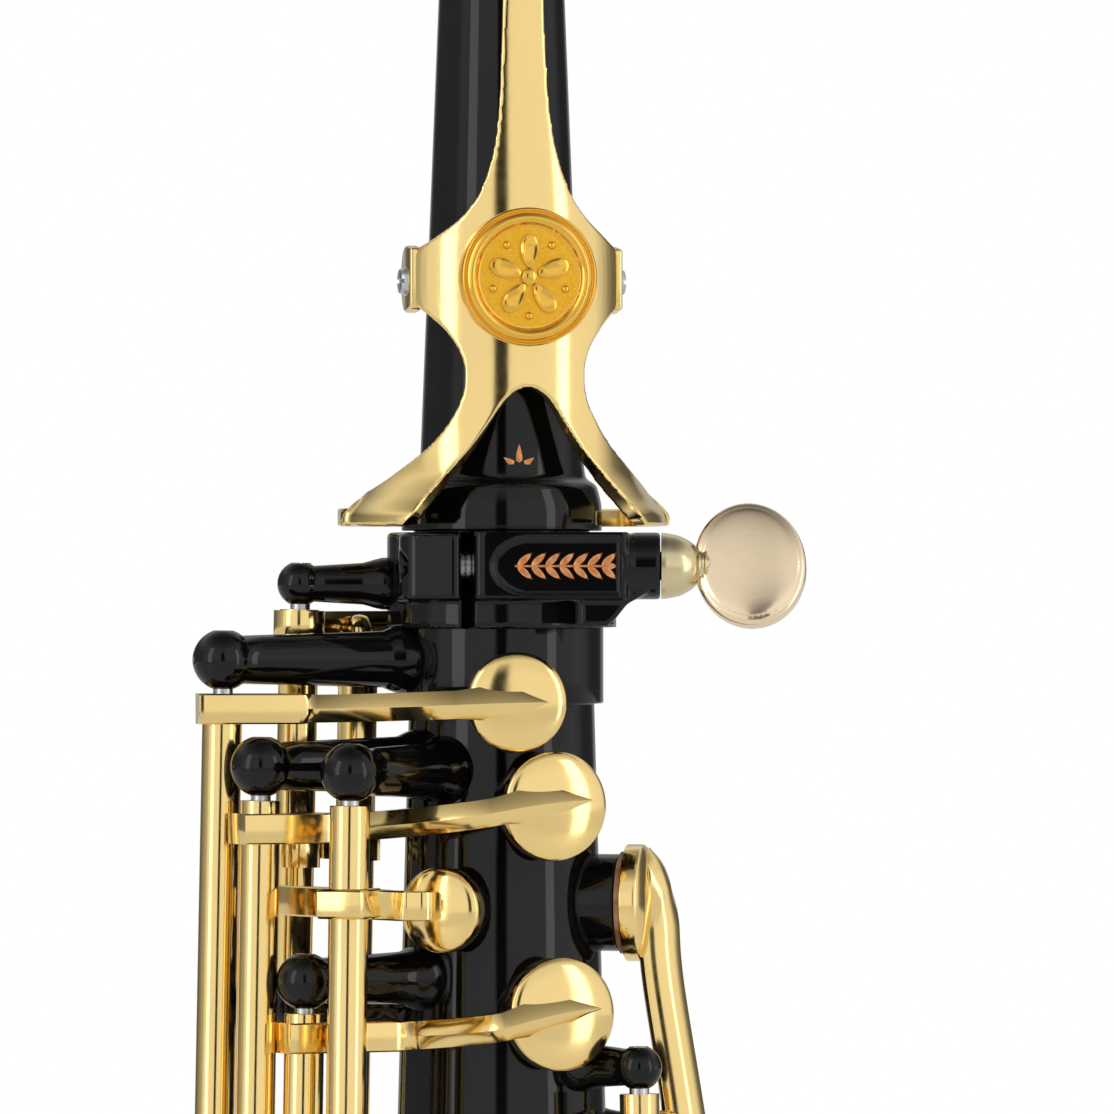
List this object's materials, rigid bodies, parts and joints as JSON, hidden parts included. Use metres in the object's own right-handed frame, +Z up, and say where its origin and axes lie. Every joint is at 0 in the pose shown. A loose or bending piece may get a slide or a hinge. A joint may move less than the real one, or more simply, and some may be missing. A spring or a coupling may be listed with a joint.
{
  "type": "soprano saxophone",
  "caption": "Straight soprano saxophone with black lacquered body, gold sprung keys, swivelling neck with octave key, and a mouthpiece on cork.",
  "frame": {"origin": "centre of the bell rim, which the instrument stands on", "axes": "+Z up the bore towards the mouthpiece, -Y the way the name plate of the neck clamp faces, +X to the right of a viewer facing that plate"},
  "size_m": [0.092, 0.092, 0.693],
  "materials": {
    "black_lacquer": "gloss black lacquer over brass",
    "gold_lacquer": "polished brass under clear gold lacquer",
    "deep_gold": "deeper gold, satin ground with a polished rim",
    "pale_gold": "pale champagne gold, polished",
    "steel": "turned steel",
    "ebonite": "polished black ebonite",
    "cork": "fine-grained cork",
    "felt": "red felt",
    "leather": "tan leather pad",
    "cane": "cane"
  },
  "bodies": {
    "body": {"body_tube": "black_lacquer", "lower_tube": "black_lacquer", "bell": "black_lacquer", "bell_ring": "black_lacquer", "neck_clamp": "black_lacquer", "upper_posts": "black_lacquer", "lower_posts": "black_lacquer", "palm_posts": "black_lacquer", "hinge_rods": "steel", "palm_rods": "steel", "needle_springs": "steel", "key_guards": "gold_lacquer", "guard_felts": "felt", "thumb_rest": "ebonite", "thumb_hook": "gold_lacquer", "strap_ring": "gold_lacquer"},
    "clamp_screw": {"clamp_screw": "pale_gold"},
    "neck": {"neck_tube": "black_lacquer", "neck_cork": "cork", "neck_pivot_screws": "steel"},
    "neck_octave_key": {"neck_octave_key": "gold_lacquer", "key_medallion": "deep_gold", "neck_octave_pad": "leather"},
    "mouthpiece": {"mouthpiece": "ebonite", "reed": "cane", "ligature": "gold_lacquer", "ligature_screws": "gold_lacquer"},
    "thumb_octave_key": {"thumb_octave_key": "gold_lacquer"},
    "octave_pin_lever": {"octave_pin_lever": "gold_lacquer"},
    "octave_vent_key": {"octave_vent_key": "gold_lacquer"},
    "high_g_key": {"high_g_key": "gold_lacquer"},
    "high_fsharp_key": {"high_fsharp_key": "gold_lacquer"},
    "high_e_key": {"high_e_key": "gold_lacquer"},
    "palm_f_key": {"palm_f_key": "gold_lacquer"},
    "palm_eb_key": {"palm_eb_key": "gold_lacquer"},
    "palm_d_key": {"palm_d_key": "gold_lacquer"},
    "side_c_key": {"side_c_key": "gold_lacquer"},
    "side_bb_key": {"side_bb_key": "gold_lacquer"},
    "c_key": {"c_key": "gold_lacquer"},
    "b_key": {"b_key": "gold_lacquer"},
    "a_key": {"a_key": "gold_lacquer"},
    "g_key": {"g_key": "gold_lacquer"},
    "gsharp_key": {"gsharp_key": "gold_lacquer"},
    "fsharp_key": {"fsharp_key": "gold_lacquer"},
    "f_key": {"f_key": "gold_lacquer"},
    "e_key": {"e_key": "gold_lacquer"},
    "d_key": {"d_key": "gold_lacquer"},
    "eb_key": {"eb_key": "gold_lacquer"},
    "low_c_key": {"low_c_key": "gold_lacquer"},
    "low_csharp_key": {"low_csharp_key": "gold_lacquer"},
    "low_b_key": {"low_b_key": "gold_lacquer"},
    "low_bb_key": {"low_bb_key": "gold_lacquer"}
  },
  "joints": [
    {"name": "clamp_screw_turn", "type": "hinge", "parent": "body", "child": "clamp_screw", "pos_m": [0.02, -0.013, 0.5334], "axis": [1, 0, 0], "range_deg": [-180, 180]},
    {"name": "neck_swivel", "type": "hinge", "parent": "body", "child": "neck", "pos_m": [0, 0, 0.532], "axis": [0, 0, 1], "range_deg": [-15, 15]},
    {"name": "neck_octave_rock", "type": "hinge", "parent": "neck", "child": "neck_octave_key", "pos_m": [0.00105, -0.00468, 0.562], "axis": [0.9759, 0.2181, 0], "range_deg": [0, 3.5], "stiffness_Nm_per_rad": 0.03, "springref_deg": -5.73},
    {"name": "mouthpiece_slide", "type": "slide", "parent": "neck", "child": "mouthpiece", "axis": [0, 0, 1], "range_m": [-0.003, 0.012]},
    {"name": "thumb_octave_key_hinge", "type": "hinge", "parent": "body", "child": "thumb_octave_key", "pos_m": [-0.01525, 0.00516, 0.49], "axis": [0.0189, -0.0064, 0.9998], "range_deg": [-4, 0], "stiffness_Nm_per_rad": 0.05, "springref_deg": 8.59},
    {"name": "octave_pin_lever_hinge", "type": "hinge", "parent": "body", "child": "octave_pin_lever", "pos_m": [-0.02079, -0.00218, 0.51], "axis": [0.0199, 0.0021, 0.9998], "range_deg": [0, 5], "stiffness_Nm_per_rad": 0.05, "springref_deg": -8.59},
    {"name": "octave_vent_key_hinge", "type": "hinge", "parent": "body", "child": "octave_vent_key", "pos_m": [-0.01545, -0.01978, 0.47], "axis": [0.0123, 0.0158, 0.9998], "range_deg": [-8, 0], "stiffness_Nm_per_rad": 0.05, "springref_deg": 8.59},
    {"name": "high_g_key_hinge", "type": "hinge", "parent": "body", "child": "high_g_key", "pos_m": [-0.03016, -0.01098, 0.4], "axis": [0.0188, 0.0068, 0.9998], "range_deg": [-4.5, 0], "stiffness_Nm_per_rad": 0.05, "springref_deg": 8.59},
    {"name": "high_fsharp_key_hinge", "type": "hinge", "parent": "body", "child": "high_fsharp_key", "pos_m": [-0.02589, -0.01495, 0.4], "axis": [0.0173, 0.01, 0.9998], "range_deg": [-4.5, 0], "stiffness_Nm_per_rad": 0.05, "springref_deg": 8.59},
    {"name": "high_e_key_hinge", "type": "hinge", "parent": "body", "child": "high_e_key", "pos_m": [-0.02065, -0.01579, 0.42], "axis": [0.0159, 0.0121, 0.9998], "range_deg": [-5, 0], "stiffness_Nm_per_rad": 0.05, "springref_deg": 8.59},
    {"name": "palm_f_key_rock", "type": "hinge", "parent": "body", "child": "palm_f_key", "pos_m": [0.0167, -0.00295, 0.4766], "axis": [0.1736, 0.9848, 0], "range_deg": [0, 4.5], "stiffness_Nm_per_rad": 0.04, "springref_deg": -6.88},
    {"name": "palm_eb_key_rock", "type": "hinge", "parent": "body", "child": "palm_eb_key", "pos_m": [0.01636, 0.00728, 0.442], "axis": [-0.4067, 0.9135, 0], "range_deg": [0, 4.5], "stiffness_Nm_per_rad": 0.04, "springref_deg": -6.88},
    {"name": "palm_d_key_rock", "type": "hinge", "parent": "body", "child": "palm_d_key", "pos_m": [0.00879, 0.01586, 0.434], "axis": [-0.8746, 0.4848, 0], "range_deg": [0, 4.5], "stiffness_Nm_per_rad": 0.04, "springref_deg": -6.88},
    {"name": "side_c_key_hinge", "type": "hinge", "parent": "body", "child": "side_c_key", "pos_m": [-0.02087, 0.00109, 0.39], "axis": [0.02, -0.001, 0.9998], "range_deg": [0, 7], "stiffness_Nm_per_rad": 0.05, "springref_deg": -8.59},
    {"name": "side_bb_key_hinge", "type": "hinge", "parent": "body", "child": "side_bb_key", "pos_m": [-0.02064, 0.00671, 0.37], "axis": [0.019, -0.0062, 0.9998], "range_deg": [0, 7], "stiffness_Nm_per_rad": 0.05, "springref_deg": -8.59},
    {"name": "c_key_hinge", "type": "hinge", "parent": "body", "child": "c_key", "pos_m": [0.01429, -0.01199, 0.452], "axis": [-0.0153, 0.0129, 0.9998], "range_deg": [-8, 0], "stiffness_Nm_per_rad": 0.05, "springref_deg": 8.59},
    {"name": "b_key_hinge", "type": "hinge", "parent": "body", "child": "b_key", "pos_m": [0.01454, -0.0122, 0.436], "axis": [-0.0153, 0.0129, 0.9998], "range_deg": [-8, 0], "stiffness_Nm_per_rad": 0.05, "springref_deg": 8.59},
    {"name": "a_key_hinge", "type": "hinge", "parent": "body", "child": "a_key", "pos_m": [0.01486, -0.01247, 0.415], "axis": [-0.0153, 0.0129, 0.9998], "range_deg": [-8, 0], "stiffness_Nm_per_rad": 0.05, "springref_deg": 8.59},
    {"name": "g_key_hinge", "type": "hinge", "parent": "body", "child": "g_key", "pos_m": [0.01523, -0.01278, 0.391], "axis": [-0.0153, 0.0129, 0.9998], "range_deg": [-8, 0], "stiffness_Nm_per_rad": 0.05, "springref_deg": 8.59},
    {"name": "gsharp_key_hinge", "type": "hinge", "parent": "body", "child": "gsharp_key", "pos_m": [0.02199, 0.00077, 0.345], "axis": [-0.02, -0.0007, 0.9998], "range_deg": [0, 7], "stiffness_Nm_per_rad": 0.05, "springref_deg": -8.59},
    {"name": "fsharp_key_hinge", "type": "hinge", "parent": "body", "child": "fsharp_key", "pos_m": [0.01725, -0.01448, 0.339], "axis": [-0.0153, 0.0129, 0.9998], "range_deg": [-9, 0], "stiffness_Nm_per_rad": 0.05, "springref_deg": 8.59},
    {"name": "f_key_hinge", "type": "hinge", "parent": "body", "child": "f_key", "pos_m": [0.01767, -0.01482, 0.312], "axis": [-0.0153, 0.0129, 0.9998], "range_deg": [-9, 0], "stiffness_Nm_per_rad": 0.05, "springref_deg": 8.59},
    {"name": "e_key_hinge", "type": "hinge", "parent": "body", "child": "e_key", "pos_m": [0.01816, -0.01523, 0.28], "axis": [-0.0153, 0.0129, 0.9998], "range_deg": [-9, 0], "stiffness_Nm_per_rad": 0.05, "springref_deg": 8.59},
    {"name": "d_key_hinge", "type": "hinge", "parent": "body", "child": "d_key", "pos_m": [0.01871, -0.0157, 0.244], "axis": [-0.0153, 0.0129, 0.9998], "range_deg": [-9, 0], "stiffness_Nm_per_rad": 0.05, "springref_deg": 8.59},
    {"name": "eb_key_hinge", "type": "hinge", "parent": "body", "child": "eb_key", "pos_m": [-0.02339, -0.01141, 0.214], "axis": [0.018, 0.0088, 0.9998], "range_deg": [0, 7], "stiffness_Nm_per_rad": 0.05, "springref_deg": -8.59},
    {"name": "low_c_key_hinge", "type": "hinge", "parent": "body", "child": "low_c_key", "pos_m": [-0.02385, -0.01163, 0.188], "axis": [0.018, 0.0088, 0.9998], "range_deg": [0, 9], "stiffness_Nm_per_rad": 0.05, "springref_deg": -8.59},
    {"name": "low_csharp_key_hinge", "type": "hinge", "parent": "body", "child": "low_csharp_key", "pos_m": [0.02349, 0.00763, 0.23], "axis": [-0.019, -0.0062, 0.9998], "range_deg": [0, 7], "stiffness_Nm_per_rad": 0.05, "springref_deg": -8.59},
    {"name": "low_b_key_hinge", "type": "hinge", "parent": "body", "child": "low_b_key", "pos_m": [0.02146, 0.01341, 0.2], "axis": [-0.017, -0.0106, 0.9998], "range_deg": [-9, 0], "stiffness_Nm_per_rad": 0.05, "springref_deg": 8.59},
    {"name": "low_bb_key_hinge", "type": "hinge", "parent": "body", "child": "low_bb_key", "pos_m": [0.01785, 0.01849, 0.18], "axis": [-0.0139, -0.0144, 0.9998], "range_deg": [-9, 0], "stiffness_Nm_per_rad": 0.05, "springref_deg": 8.59}
  ],
  "couplings": [
    {"joint": "octave_pin_lever_hinge", "follows": "thumb_octave_key_hinge", "ratio": -1.25},
    {"joint": "neck_octave_rock", "follows": "thumb_octave_key_hinge", "ratio": -0.875},
    {"joint": "c_key_hinge", "follows": "a_key_hinge", "ratio": 1},
    {"joint": "fsharp_key_hinge", "follows": "f_key_hinge", "ratio": 1}
  ]
}
